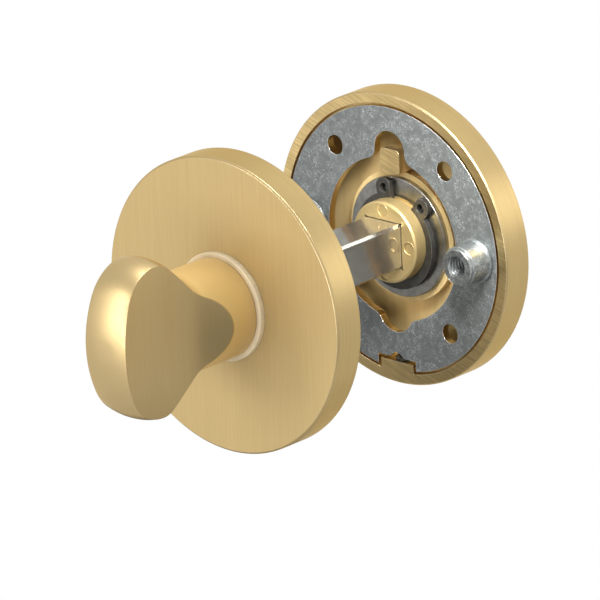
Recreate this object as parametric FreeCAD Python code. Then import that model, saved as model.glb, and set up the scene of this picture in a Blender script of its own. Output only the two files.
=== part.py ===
import FreeCAD, Part
import math
import os

from FreeCAD import Vector

# A bathroom thumb turn lock: an inside half with the thumb turn, an outside half with the
# release button, and a square spindle between them. Millimetres. Y runs along the spindle:
# the thumb turn points to -Y and the release button to +Y. Z is up. The origin is on the
# spindle's axis, on the side of the inside half that lies against the door.

# Distance between the two halves, which is the thickness of the door
DOOR_GAP = 37.0

# Roses: the round brass covers
ROSE_RADIUS = 26.0
ROSE_DEPTH = 5.8
ROSE_FACE = 1.6
RIM_WALL = 1.9
ROSE_EDGE = 0.3
RIM_EDGE = 0.2
LEDGE_WIDTH = 1.7

# Collar round the bore, inside each rose
COLLAR_WALL = 3.4
COLLAR_GROOVES = 3
COLLAR_GROOVE_DEPTH = 0.2
COLLAR_GROOVE_WIDTH = 0.22

# Key pad that enters the plate's upper lobe
PAD_WIDTH = 4.4
PAD_CORNER = 0.9
PAD_GAP = 0.1

# Lug on the rim that carries the grub screw
LUG_WIDTH = 7.3
LUG_HEIGHT = 1.9

# Mounting plates; each margin runs from the plate's edge inwards
PLATE_THICKNESS = 1.5
PLATE_PLAY = 0.5
WINDOW_MARGIN = 9.0
UPPER_LOBE_RADIUS = 3.4
UPPER_LOBE_MARGIN = 4.2
LOWER_LOBE_RADIUS = 3.9
LOWER_LOBE_MARGIN = 6.8
LOBE_CORNER = 2.0
NOTCH_PLAY = 0.65
NOTCH_DEPTH_PLAY = 0.8
PLATE_SCREW_HOLE = 3.5
PLATE_SCREW_MARGIN = 4.4
PLATE_SCREW_ANGLE = 49.5

# Fixing through the door: threaded posts outside, plain holes inside
FIXING_HOLE = 4.4
POST_LENGTH = 5.0
POST_DIAMETER = 7.0
POST_TIP_STEP = 0.3
POST_TIP_LENGTH = 0.6
POST_FOOT_FLARE = 0.4
POST_FOOT_HEIGHT = 0.5
POST_SPIGOT_DIAMETER = 5.6
POST_RIVET_FLARE = 0.5
POST_RIVET_HEIGHT = 0.6
POST_RIVET_PLAY = 0.1
THREAD_BORE = 3.3

# Journals of the thumb turn and the release button, with their bushes and clips
JOURNAL_RADIUS = 7.25
JOURNAL_PROUD = 2.25
RUNNING_FIT = 0.07
END_PLAY = 0.05
CLIP_THICKNESS = 1.0
CLIP_DEPTH = 0.45
CLIP_GROOVE = 0.4
CLIP_WIDEST = 2.25
CLIP_NARROWEST = 1.3
CLIP_LUG_RADIUS = 1.75
CLIP_LUG_STAND = 2.15
CLIP_LUG_ANGLE = 57.0
CLIP_HOLE = 1.7
CLIP_SEAT_PLAY = 0.02
CLIP_TURN = 15.0
WASHER_STEP = 1.0
WASHER_THICKNESS = 1.0
BUSH_WALL = 0.95
BUSH_FLANGE_WIDTH = 1.23
BUSH_FLANGE = 1.1
BUSH_SEAT_PLAY = 0.03

# Grub screws in the rims
GRUB_DIAMETER = 3.0
GRUB_DEPTH = 1.9
GRUB_SUNK = 0.3
GRUB_LENGTH = 4.9
GRUB_TIP_DIAMETER = 1.4
GRUB_CONE = 0.9
GRUB_KEY = 1.5
GRUB_KEY_DEPTH = 1.6
GRUB_PLAY = 0.03
GRUB_RELIEF_PLAY = 0.25

# Thumb turn: a turned knob with a scooped flat on each side
NECK_STEP = 1.5
NECK_EDGE = 0.2
TURN_REACH = 29.3
HEAD_RADIUS = 14.0
DOME_RADIUS = 22.0
BROW_RADIUS = 8.0
SHOULDER_RADIUS = 3.5
SHOULDER_SLOPE = 41.0
WAIST_RADIUS = 4.0
BLADE_THICKNESS = 8.0
SCOOP_RADIUS = 30.0
SCOOP_PLACE = 6.1

# Release button
BUTTON_PROUD = 5.0
BUTTON_EDGE = 1.0
SLOT_WIDTH = 2.2
SLOT_DEPTH = 2.4
SLOT_LENGTH = 13.0

# Square spindle and its sockets
SPINDLE_WIDTH = 8.0
SPINDLE_EDGE = 0.45
SPINDLE_PLAY = 0.1
SPINDLE_INSIDE_REACH = 13.0
SOCKET_INSIDE_REACH = 16.5
SOCKET_OUTSIDE_REACH = 7.6
SPINDLE_END_PLAY = 0.2
SOCKET_MOUTH = 0.35
STAKE_RADIUS = 1.15
STAKE_DEPTH = 0.15
STAKE_MARGIN = 1.62

# Depths worked out from the sizes above, each measured from the door into a half
ROSE_FLOOR = ROSE_DEPTH - ROSE_FACE
RIM_INNER_RADIUS = ROSE_RADIUS - RIM_WALL
LEDGE_RADIUS = RIM_INNER_RADIUS - LEDGE_WIDTH
PLATE_RADIUS = RIM_INNER_RADIUS - PLATE_PLAY
WINDOW_RADIUS = PLATE_RADIUS - WINDOW_MARGIN
UPPER_LOBE_TOP = PLATE_RADIUS - UPPER_LOBE_MARGIN
LOWER_LOBE_BOTTOM = PLATE_RADIUS - LOWER_LOBE_MARGIN
PLATE_SCREW_PLACE = PLATE_RADIUS - PLATE_SCREW_MARGIN
CLIP_BACK = CLIP_DEPTH + CLIP_THICKNESS
WASHER_DEPTH = CLIP_BACK + END_PLAY
COLLAR_FACE = WASHER_DEPTH + WASHER_THICKNESS
BUSH_BORE_RADIUS = JOURNAL_RADIUS + RUNNING_FIT
BUSH_RADIUS = BUSH_BORE_RADIUS + BUSH_WALL
BUSH_FLANGE_RADIUS = BUSH_RADIUS + BUSH_FLANGE_WIDTH
ROSE_BORE_RADIUS = BUSH_RADIUS + BUSH_SEAT_PLAY
COLLAR_RADIUS = ROSE_BORE_RADIUS + COLLAR_WALL
PAD_PLACE = COLLAR_RADIUS + PAD_GAP + PAD_WIDTH / 2
WASHER_RADIUS = COLLAR_RADIUS - WASHER_STEP
BUSH_FRONT = ROSE_DEPTH + BUSH_FLANGE
NECK_FOOT = BUSH_FRONT + END_PLAY
NECK_RADIUS = JOURNAL_RADIUS + NECK_STEP
CLIP_SEAT_RADIUS = JOURNAL_RADIUS - CLIP_GROOVE
CLIP_LUG_CIRCLE = CLIP_SEAT_RADIUS + CLIP_LUG_STAND
SOCKET_WIDTH = SPINDLE_WIDTH + 2 * SPINDLE_PLAY
STAKE_PLACE = SOCKET_WIDTH / 2 + STAKE_MARGIN
LUG_REACH = RIM_INNER_RADIUS - LUG_HEIGHT
GRUB_RADIUS = GRUB_DIAMETER / 2
GRUB_FOOT = ROSE_RADIUS - GRUB_SUNK
GRUB_TIP = GRUB_FOOT - GRUB_LENGTH
POST_RIVET_RADIUS = POST_SPIGOT_DIAMETER / 2 + POST_RIVET_FLARE
POST_PLACE = LEDGE_RADIUS - POST_RIVET_RADIUS - POST_RIVET_PLAY

AXIS = Vector(0, 1, 0)
ORIGIN = Vector(0, 0, 0)


def at(radius, depth):
    """A point of a turned profile."""
    return Vector(radius, depth, 0)


def turned(edges):
    """The solid that a closed profile of edges sweeps round the spindle's axis."""
    face = Part.Face(Part.Wire(edges))
    return face.revolve(ORIGIN, AXIS, 360)


def turned_steps(points):
    """A turned solid whose profile runs straight between (radius, depth) points."""
    corners = [at(radius, depth) for radius, depth in points]
    return turned(Part.makePolygon(corners + corners[:1]).Edges)


def disc(radius, start, end, x=0.0, z=0.0):
    """A round bar along Y from one depth to another."""
    return Part.makeCylinder(radius, end - start, Vector(x, start, z), AXIS)


def block(width, height, start, end, x=0.0, z=0.0):
    """A rectangular bar along Y, centred on x and z."""
    corner = Vector(x - width / 2, start, z - height / 2)
    return Part.makeBox(width, end - start, height, corner)


def side_edges(shape, test):
    """The straight edges along Y whose x and z pass a test."""
    found = []
    for edge in shape.Edges:
        ends = [vertex.Point for vertex in edge.Vertexes]
        if len(ends) != 2:
            continue
        run = ends[1] - ends[0]
        along = abs(run.y) > 0.01 and math.hypot(run.x, run.z) < 0.001
        if along and test(ends[0].x, ends[0].z):
            found.append(edge)
    return found


def polar(radius, degrees):
    """The x and z of a place round the spindle's axis."""
    angle = math.radians(degrees)
    return radius * math.cos(angle), radius * math.sin(angle)


def rose():
    """Round cover with a rim, a ledge for the plate, the collar, the key pad and the lug."""
    body = turned_steps([
        (0, ROSE_FLOOR),
        (LEDGE_RADIUS, ROSE_FLOOR),
        (LEDGE_RADIUS, PLATE_THICKNESS),
        (RIM_INNER_RADIUS, PLATE_THICKNESS),
        (RIM_INNER_RADIUS, 0),
        (ROSE_RADIUS - RIM_EDGE, 0),
        (ROSE_RADIUS, RIM_EDGE),
        (ROSE_RADIUS, ROSE_DEPTH - ROSE_EDGE),
        (ROSE_RADIUS - ROSE_EDGE, ROSE_DEPTH),
        (0, ROSE_DEPTH),
    ])
    body = body.fuse([collar(), key_pad(), lug()])
    body = body.cut(disc(ROSE_BORE_RADIUS, COLLAR_FACE - 1, ROSE_DEPTH + 1))
    return body.cut(grub_hole()).removeSplitter()


def collar():
    """Raised ring on the rose's floor, with fine turned grooves round it."""
    ring = disc(COLLAR_RADIUS, COLLAR_FACE, ROSE_FLOOR + ROSE_FACE / 2)
    pitch = (ROSE_FLOOR - COLLAR_FACE) / (COLLAR_GROOVES + 1)
    for number in range(COLLAR_GROOVES):
        middle = COLLAR_FACE + pitch * (number + 1)
        start = middle - COLLAR_GROOVE_WIDTH / 2
        end = middle + COLLAR_GROOVE_WIDTH / 2
        groove = disc(COLLAR_RADIUS + 1, start, end)
        groove = groove.cut(disc(COLLAR_RADIUS - COLLAR_GROOVE_DEPTH, start, end))
        ring = ring.cut(groove)
    return ring


def key_pad():
    """Square pad with rounded corners that keeps the plate from turning in the rose."""
    pad = block(PAD_WIDTH, PAD_WIDTH, 0, ROSE_FLOOR + ROSE_FACE / 2, z=PAD_PLACE)
    return pad.makeFillet(PAD_CORNER, side_edges(pad, lambda x, z: True))


def lug():
    """Block at the foot of the rim that the grub screw runs through."""
    height = LUG_HEIGHT + RIM_WALL / 2
    middle = -(LUG_REACH + height / 2)
    return block(LUG_WIDTH, height, 0, ROSE_FLOOR + ROSE_FACE / 2, z=middle)


def grub_hole():
    """Radial hole up through the rim and the lug."""
    start = Vector(0, GRUB_DEPTH, -(ROSE_RADIUS + 1))
    length = ROSE_RADIUS + 2 - LUG_REACH
    return Part.makeCylinder(GRUB_RADIUS + GRUB_PLAY, length, start, Vector(0, 0, 1))


def grub_screw():
    """Headless screw with a hexagon socket below and a cone at its inner end."""
    length = GRUB_LENGTH - GRUB_CONE
    up = Vector(0, 0, 1)
    foot = Vector(0, GRUB_DEPTH, -GRUB_FOOT)
    body = Part.makeCylinder(GRUB_RADIUS, length, foot, up)
    cone = Part.makeCone(
        GRUB_RADIUS, GRUB_TIP_DIAMETER / 2, GRUB_CONE, foot + up * length, up)
    corner_radius = GRUB_KEY / math.sqrt(3)
    corners = []
    for number in range(7):
        angle = math.radians(60 * number)
        x = corner_radius * math.cos(angle)
        y = GRUB_DEPTH + corner_radius * math.sin(angle)
        corners.append(Vector(x, y, -GRUB_FOOT))
    key = Part.Face(Part.makePolygon(corners)).extrude(Vector(0, 0, GRUB_KEY_DEPTH))
    return body.fuse(cone).cut(key).removeSplitter()


def plate(fixing_hole):
    """Steel plate that is screwed to the door, with its window, notch and holes."""
    sheet = disc(PLATE_RADIUS, 0, PLATE_THICKNESS)
    sheet = sheet.cut(window())
    corners = side_edges(sheet, lambda x, z: abs(math.hypot(x, z) - WINDOW_RADIUS) < 0.01)
    sheet = sheet.makeFillet(LOBE_CORNER, corners)
    sheet = sheet.cut(notch())
    for angle in (PLATE_SCREW_ANGLE, 180 - PLATE_SCREW_ANGLE):
        for side in (1, -1):
            x, z = polar(PLATE_SCREW_PLACE, side * angle)
            sheet = sheet.cut(disc(PLATE_SCREW_HOLE / 2, 0, PLATE_THICKNESS, x, z))
    for side in (1, -1):
        sheet = sheet.cut(disc(fixing_hole / 2, 0, PLATE_THICKNESS, side * POST_PLACE))
    return sheet.removeSplitter()


def window():
    """The plate's middle opening: a circle with a lobe above and a shallow one below."""
    upper = UPPER_LOBE_TOP - UPPER_LOBE_RADIUS
    lower = LOWER_LOBE_BOTTOM - LOWER_LOBE_RADIUS
    opening = disc(WINDOW_RADIUS, 0, PLATE_THICKNESS)
    return opening.fuse([
        disc(UPPER_LOBE_RADIUS, 0, PLATE_THICKNESS, z=upper),
        block(2 * UPPER_LOBE_RADIUS, upper, 0, PLATE_THICKNESS, z=upper / 2),
        disc(LOWER_LOBE_RADIUS, 0, PLATE_THICKNESS, z=-lower),
    ]).removeSplitter()


def notch():
    """Room in the plate's edge for the lug, with a round relief for the grub screw's tip."""
    inner = LUG_REACH - NOTCH_DEPTH_PLAY
    height = PLATE_RADIUS + 1 - inner
    width = LUG_WIDTH + 2 * NOTCH_PLAY
    gap = block(width, height, 0, PLATE_THICKNESS, z=-(inner + height / 2))
    relief_radius = GRUB_RADIUS + GRUB_RELIEF_PLAY
    place = GRUB_TIP - GRUB_RELIEF_PLAY + relief_radius
    return gap.fuse(disc(relief_radius, 0, PLATE_THICKNESS, z=-place))


def threaded_post(side):
    """Sleeve riveted into the outside plate, drilled through for a fixing screw."""
    bore = THREAD_BORE / 2
    top = -POST_LENGTH
    body = POST_DIAMETER / 2
    tip = body - POST_TIP_STEP
    foot = body + POST_FOOT_FLARE
    neck = top + POST_TIP_LENGTH
    post = turned_steps([
        (bore + 0.3, top),
        (tip - 0.15, top),
        (tip, top + 0.15),
        (tip, neck),
        (body - 0.15, neck),
        (body, neck + 0.15),
        (body, -POST_FOOT_FLARE - POST_FOOT_HEIGHT),
        (foot, -POST_FOOT_HEIGHT),
        (foot, 0),
        (POST_SPIGOT_DIAMETER / 2, 0),
        (POST_SPIGOT_DIAMETER / 2, PLATE_THICKNESS),
        (POST_RIVET_RADIUS, PLATE_THICKNESS),
        (POST_RIVET_RADIUS, PLATE_THICKNESS + POST_RIVET_HEIGHT / 2),
        (POST_RIVET_RADIUS - 0.3, PLATE_THICKNESS + POST_RIVET_HEIGHT),
        (bore, PLATE_THICKNESS + POST_RIVET_HEIGHT),
        (bore, top + 0.3),
    ])
    return post.translated(Vector(side * POST_PLACE, 0, 0))


def bush():
    """Nylon bush: a sleeve through the rose and a flange on its outer face."""
    return turned_steps([
        (BUSH_BORE_RADIUS, COLLAR_FACE),
        (BUSH_RADIUS, COLLAR_FACE),
        (BUSH_RADIUS, ROSE_DEPTH),
        (BUSH_FLANGE_RADIUS, ROSE_DEPTH),
        (BUSH_FLANGE_RADIUS, BUSH_FRONT - 0.2),
        (BUSH_FLANGE_RADIUS - 0.2, BUSH_FRONT),
        (BUSH_BORE_RADIUS, BUSH_FRONT),
    ])


def thrust_washer():
    """Flat washer between the collar and the retaining clip."""
    edge = 0.12
    return turned_steps([
        (BUSH_BORE_RADIUS, WASHER_DEPTH),
        (WASHER_RADIUS - edge, WASHER_DEPTH),
        (WASHER_RADIUS, WASHER_DEPTH + edge),
        (WASHER_RADIUS, COLLAR_FACE),
        (BUSH_BORE_RADIUS, COLLAR_FACE),
    ])


def retaining_clip():
    """Spring clip: an open ring, thicker opposite its gap, with two drilled lugs."""
    inner = CLIP_SEAT_RADIUS + CLIP_SEAT_PLAY
    outer = inner + (CLIP_WIDEST + CLIP_NARROWEST) / 2
    shift = (CLIP_WIDEST - CLIP_NARROWEST) / 2
    ring = disc(outer, CLIP_DEPTH, CLIP_BACK, z=-shift)
    half = CLIP_LUG_ANGLE / 2
    for side in (1, -1):
        x, z = polar(CLIP_LUG_CIRCLE, 90 + side * half)
        ring = ring.fuse(disc(CLIP_LUG_RADIUS, CLIP_DEPTH, CLIP_BACK, x, z))
        arm = block(2 * CLIP_LUG_RADIUS, CLIP_LUG_CIRCLE, CLIP_DEPTH, CLIP_BACK,
                    z=CLIP_LUG_CIRCLE / 2)
        arm.rotate(ORIGIN, AXIS, -side * half)
        ring = ring.fuse(arm)
    ring = ring.cut(clip_gap(half))
    for side in (1, -1):
        x, z = polar(CLIP_LUG_CIRCLE, 90 + side * half)
        ring = ring.cut(disc(CLIP_HOLE / 2, CLIP_DEPTH, CLIP_BACK, x, z))
    ring = ring.cut(disc(inner, CLIP_DEPTH, CLIP_BACK)).removeSplitter()
    ring.rotate(ORIGIN, AXIS, CLIP_TURN)
    return ring


def clip_gap(half):
    """The wedge that opens the clip between its two lugs."""
    lug_half = math.degrees(math.asin(CLIP_LUG_RADIUS / CLIP_LUG_CIRCLE))
    reach = 2 * CLIP_LUG_CIRCLE
    left_x, left_z = polar(reach, 90 + half - lug_half * 0.8)
    right_x, right_z = polar(reach, 90 - half + lug_half * 0.8)
    corners = [
        Vector(0, CLIP_DEPTH, 0),
        Vector(left_x, CLIP_DEPTH, left_z),
        Vector(right_x, CLIP_DEPTH, right_z),
        Vector(0, CLIP_DEPTH, 0),
    ]
    return Part.Face(Part.makePolygon(corners)).extrude(Vector(0, CLIP_THICKNESS, 0))


def journal_points():
    """Profile of the journal from its end, past the clip's groove, to the neck's foot."""
    edge = 0.3
    return [
        (0, -JOURNAL_PROUD),
        (JOURNAL_RADIUS - edge, -JOURNAL_PROUD),
        (JOURNAL_RADIUS, edge - JOURNAL_PROUD),
        (JOURNAL_RADIUS, CLIP_DEPTH - END_PLAY),
        (CLIP_SEAT_RADIUS, CLIP_DEPTH - END_PLAY),
        (CLIP_SEAT_RADIUS, CLIP_BACK + END_PLAY),
        (JOURNAL_RADIUS, CLIP_BACK + END_PLAY),
        (JOURNAL_RADIUS, NECK_FOOT),
        (NECK_RADIUS - NECK_EDGE, NECK_FOOT),
        (NECK_RADIUS, NECK_FOOT + NECK_EDGE),
    ]


def arc(centre, radius, start, end):
    """Arc of a profile; its angles are in degrees from the spindle's axis, outwards."""
    points = []
    for degrees in (start, (start + end) / 2, end):
        angle = math.radians(degrees)
        points.append(centre + at(radius * math.sin(angle), radius * math.cos(angle)))
    return Part.Arc(*points).toShape()


def joined(edge, following):
    """A straight edge from the end of one profile edge to the start of the next."""
    return Part.makeLine(edge.lastVertex(True).Point, following.firstVertex(True).Point)


def head_profile(front):
    """Edges from the neck up: waist, shoulder, brow and dome, each tangent to the next."""
    brow_place = HEAD_RADIUS - BROW_RADIUS
    rise = math.sqrt((DOME_RADIUS - BROW_RADIUS) ** 2 - brow_place ** 2)
    widest = front - DOME_RADIUS + rise
    lean = math.degrees(math.atan2(brow_place, rise))
    dome = arc(at(0, front - DOME_RADIUS), DOME_RADIUS, lean, 0)
    brow = arc(at(brow_place, widest), BROW_RADIUS, 90, lean)
    shoulder_centre = at(HEAD_RADIUS - SHOULDER_RADIUS, widest)
    shoulder = arc(shoulder_centre, SHOULDER_RADIUS, 90 + SHOULDER_SLOPE, 90)
    slope = math.radians(SHOULDER_SLOPE)
    foot = shoulder_centre + at(math.cos(slope), -math.sin(slope)) * SHOULDER_RADIUS
    spare = foot.x - NECK_RADIUS - WAIST_RADIUS * (1 - math.cos(slope))
    waist_end = foot - at(math.sin(slope), math.cos(slope)) * (spare / math.sin(slope))
    waist_centre = waist_end + at(math.cos(slope), -math.sin(slope)) * WAIST_RADIUS
    waist = arc(waist_centre, WAIST_RADIUS, -90, SHOULDER_SLOPE - 90)
    return [waist, Part.makeLine(waist_end, foot), shoulder, brow, dome]


def thumb_turn():
    """Knob turned with a domed head, cut by two scooped flats, on its journal."""
    front = ROSE_DEPTH + TURN_REACH
    journal = Part.makePolygon([at(radius, depth) for radius, depth in journal_points()]).Edges
    head = head_profile(front)
    neck = joined(journal[-1], head[0])
    core = joined(head[-1], journal[0])
    knob = turned(journal + [neck] + head + [core])
    knob.rotate(ORIGIN, AXIS, 90)
    for side in (1, -1):
        knob = knob.cut(scoop(side, front))
    return knob.cut(spindle_socket(SOCKET_INSIDE_REACH)).removeSplitter()


def scoop(side, front):
    """What one scooped flat takes off the head: a round bar across its side."""
    x = side * (BLADE_THICKNESS / 2 + SCOOP_RADIUS)
    start = Vector(x, front - SCOOP_PLACE, -2 * HEAD_RADIUS)
    return Part.makeCylinder(SCOOP_RADIUS, 4 * HEAD_RADIUS, start, Vector(0, 0, 1))


def release_turn():
    """Release button with a coin slot, on its journal, staked round the spindle."""
    front = NECK_FOOT + BUTTON_PROUD
    journal = Part.makePolygon([at(radius, depth) for radius, depth in journal_points()]).Edges
    rim_centre = at(NECK_RADIUS - BUTTON_EDGE, front - BUTTON_EDGE)
    rim = arc(rim_centre, BUTTON_EDGE, 90, 0)
    neck = joined(journal[-1], rim)
    face = Part.makeLine(rim.lastVertex(True).Point, at(0, front))
    core = joined(face, journal[0])
    button = turned(journal + [neck, rim, face, core])
    button = button.cut(coin_slot(front))
    button = button.cut(spindle_socket(SOCKET_OUTSIDE_REACH))
    for number in range(4):
        x, z = polar(STAKE_PLACE, 90 * number)
        dent = disc(STAKE_RADIUS, -JOURNAL_PROUD, STAKE_DEPTH - JOURNAL_PROUD, x, z)
        button = button.cut(dent)
    return button.removeSplitter()


def coin_slot(front):
    """Upright slot with round ends in the button's face."""
    start = front - SLOT_DEPTH
    straight = SLOT_LENGTH - SLOT_WIDTH
    slot = block(SLOT_WIDTH, straight, start, front)
    for side in (1, -1):
        slot = slot.fuse(disc(SLOT_WIDTH / 2, start, front, z=side * straight / 2))
    return slot.removeSplitter()


def spindle_socket(reach):
    """Square socket from the journal's end, with a short bevel at its mouth."""
    start = -JOURNAL_PROUD
    hole = block(SOCKET_WIDTH, SOCKET_WIDTH, start, reach)
    half = SOCKET_WIDTH / 2
    relief = SOCKET_MOUTH / 2
    for x in (half, -half):
        for z in (half, -half):
            hole = hole.fuse(disc(relief, start, reach, x, z))
    return hole.removeSplitter()


def spindle():
    """Square bar with softened edges, placed along the axis in the row's own frame."""
    start = -SPINDLE_INSIDE_REACH
    end = DOOR_GAP + SOCKET_OUTSIDE_REACH - SPINDLE_END_PLAY
    bar = block(SPINDLE_WIDTH, SPINDLE_WIDTH, start, end)
    return bar.makeChamfer(SPINDLE_EDGE, bar.Edges)


def inside(shape):
    """Turn a piece round to face the room and set it on the inside of the door."""
    placed = shape.copy()
    placed.rotate(ORIGIN, Vector(0, 0, 1), 180)
    return placed


def outside(shape):
    """Set a piece on the outside of the door."""
    return shape.translated(Vector(0, DOOR_GAP, 0))


def write(name, shape):
    """Write one piece as one STEP file."""
    shape.exportStep(os.path.join("parts", name + ".step"))
    bounds = shape.BoundBox
    print(name, len(shape.Solids), shape.isValid(), round(shape.Volume, 1),
          round(bounds.YMin, 2), round(bounds.YMax, 2))


def main():
    os.makedirs("parts", exist_ok=True)
    write("thumb_turn", inside(thumb_turn()))
    write("release_turn", outside(release_turn()))
    write("spindle", spindle())
    write("inside_plate", inside(plate(FIXING_HOLE)))
    write("outside_plate", outside(plate(POST_SPIGOT_DIAMETER)))
    write("threaded_post_right", outside(threaded_post(1)))
    write("threaded_post_left", outside(threaded_post(-1)))
    for side, place in (("inside", inside), ("outside", outside)):
        write(side + "_rose", place(rose()))
        write(side + "_bush", place(bush()))
        write(side + "_thrust_washer", place(thrust_washer()))
        write(side + "_retaining_clip", place(retaining_clip()))
        write(side + "_grub_screw", place(grub_screw()))


main()
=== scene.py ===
import math

import bmesh
import bpy
from mathutils import Matrix, Vector


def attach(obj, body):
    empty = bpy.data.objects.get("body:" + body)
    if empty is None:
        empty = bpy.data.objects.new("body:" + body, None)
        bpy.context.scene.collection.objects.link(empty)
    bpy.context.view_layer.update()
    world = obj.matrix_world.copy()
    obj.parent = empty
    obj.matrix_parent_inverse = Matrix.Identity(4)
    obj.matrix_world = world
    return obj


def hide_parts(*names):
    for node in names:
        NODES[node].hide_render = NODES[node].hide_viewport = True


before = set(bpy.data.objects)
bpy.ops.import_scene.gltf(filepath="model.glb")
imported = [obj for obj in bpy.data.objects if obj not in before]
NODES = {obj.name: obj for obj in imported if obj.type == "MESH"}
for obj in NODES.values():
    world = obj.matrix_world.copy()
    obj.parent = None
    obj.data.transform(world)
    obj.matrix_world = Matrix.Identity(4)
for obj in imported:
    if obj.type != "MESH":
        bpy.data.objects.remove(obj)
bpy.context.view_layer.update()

bl_info = {
    "name": "Bathroom thumb turn lock",
    "version": (1, 0, 0),
    "blender": (4, 5, 0),
    "location": "View3D > Sidebar > Lock",
    "description": "Finishes, fine shapes and a plain studio for a bathroom thumb turn lock",
    "category": "Object",
}

MM = 0.001

# Sizes in millimetres

# The roses: how far from the door's face their front lies, up to where the end of the rim is
# filed, and where the sunk inside, which is painted lighter as painted light in the recess,
# starts, is in full and ends, and within what radius of the axis it lies
DOOR_MIDDLE = 18.5
FRONT_DEPTH = 5.6
FILED_DEPTH = 0.06
PAINTED_LIGHT_START = 0.6
PAINTED_LIGHT_FULL = 2.4
PAINTED_LIGHT_END = 5.0
PAINTED_LIGHT_RADIUS = 25.0

# The thumb turn: the round bar that scoops each flat, how near to it counts as on the flat,
# and where the neck starts and is in full
SCOOP_RADIUS = 30.0
SCOOP_ASIDE = 34.0
SCOOP_FORWARD = 29.0
SCOOP_MARGIN = 0.12
NECK_START = -22.0
NECK_FULL = -18.0

# Its dome is closed by a fan of thin faces that lie in front of DOME_FRONT. Edges in front
# of ROUNDED_FRONT that turn by more than SHARP_DEGREES are rounded.
DOME_FRONT = -30.0
DOME_FAN_RADIUS = 0.9
ROUNDED_FRONT = -9.0
SHARP_DEGREES = 22

# The posts: how far they stand from the axis, the face of the plate, their two ends counted
# from it, where the thread starts, the radius within which the bore is painted dark as
# painted shade, and the outline as radius and depth
POST_ASIDE = 19.0
PLATE_FACE = 37.0
POST_TIP = -5.0
POST_END = 2.1
THREAD_START = POST_TIP + 0.12
POST_BORE = 1.98
POST_OUTLINE = (
    (3.05, POST_TIP), (3.2, POST_TIP + 0.15), (3.2, POST_TIP + 0.6), (3.35, POST_TIP + 0.6),
    (3.5, POST_TIP + 0.75), (3.5, -0.95), (3.66, -0.72), (3.9, -0.5), (3.9, 0), (2.8, 0),
    (2.8, 1.5), (3.3, 1.5), (3.3, 1.8), (3.0, POST_END),
)

# The stake marks: how far they lie from the axis, the radius and height of each ring, and
# the end of the journal that carries them
STAKE_PLACE = 5.72
STAKE_RADIUS = 1.15
STAKE_RAISED = 0.07
JOURNAL_END = 34.75

# Colours: brass at a grazing angle, the thumb turn's neck, the spindle, the brass painted
# onto the plate's side walls as a painted reflection of the brass round them, the paler
# edges that stand for rubbing and a painted highlight, and the dark cards
BRASS_EDGE_TINT = (1.0, 0.84, 0.56, 1.0)
NECK_TONE = (0.72, 0.51, 0.20)
BAR_TONE = (0.66, 0.63, 0.56)
PAINTED_WALL_REFLECTION = (0.70, 0.58, 0.36)
ZINC_EDGE_WEAR_AND_HIGHLIGHT = (0.86, 0.87, 0.86)
STEEL_EDGE_WEAR_AND_HIGHLIGHT = (0.42, 0.41, 0.38)
WASHER_EDGE_WEAR_AND_HIGHLIGHT = (0.85, 0.85, 0.83)
CARD_TONE = (0.10, 0.10, 0.10)

# Soft boxes, in metres: name, place, target, width, height, radiance, spread in degrees
MIDDLE = (0, 0.01, 0)
SOFT_BOXES = (
    ("lamp left", (-0.25, -0.50, 0.17), MIDDLE, 0.14, 0.46, 6.2, 180),
    ("lamp front", (0.06, -0.46, -0.03), MIDDLE, 0.40, 0.18, 5.3, 180),
    ("lamp right", (0.39, 0.42, 0.15), MIDDLE, 0.25, 0.25, 1.8, 180),
    ("lamp above", (0.02, 0.03, 0.49), MIDDLE, 0.24, 0.24, 10.5, 180),
    ("lamp between", (0.045, 0.008, 0.06), (0.012, 0.037, 0.002), 0.03, 0.03, 11.0, 64),
)

# Dark cards, in metres: name, place, target, width and height
SHADE_CARDS = (
    ("shade card right", (0.22, -0.05, -0.09), MIDDLE, 0.20, 0.12),
    ("shade card low", (-0.015, 0.002, -0.055), (-0.015, 0.037, -0.055), 0.09, 0.054),
)

# What each finish goes on, by the record's material slot
SLOT_NODES = {
    "satin_brass": ("inside_rose", "outside_rose"),
    "turned_brass": ("release_turn",),
    "zinc_sheet": ("inside_plate", "outside_plate"),
    "zinc_bar": ("spindle",),
    "bright_washer": ("inside_thrust_washer", "outside_thrust_washer"),
    "spring_steel": ("inside_retaining_clip", "outside_retaining_clip"),
    "nylon": ("inside_bush", "outside_bush"),
    "screw_steel": ("inside_grub_screw", "outside_grub_screw"),
}


# Sizes and colours that a user would change


class LockBrass(bpy.types.PropertyGroup):
    """The brass of the roses, the thumb turn and the release button"""

    tone: bpy.props.FloatVectorProperty(
        name="Brass", description="Colour of the satin brass", subtype="COLOR",
        size=3, min=0, max=1, default=(0.465, 0.345, 0.16))
    journal_tone: bpy.props.FloatVectorProperty(
        name="Turned brass", description="Colour of the bare brass of the release button",
        subtype="COLOR", size=3, min=0, max=1, default=(0.53, 0.40, 0.18))
    line_width: bpy.props.FloatProperty(
        name="Brush line", description="Width of one brush line in millimetres",
        min=0.05, max=2, default=0.24)
    line_length: bpy.props.FloatProperty(
        name="Brush stroke", description="Length of one brush stroke in millimetres",
        min=1, max=60, default=16)
    line_depth: bpy.props.FloatProperty(
        name="Brush depth", description="How deep the brush lines are", unit="LENGTH",
        min=0, max=0.0001, default=0.000006, precision=6)


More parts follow.
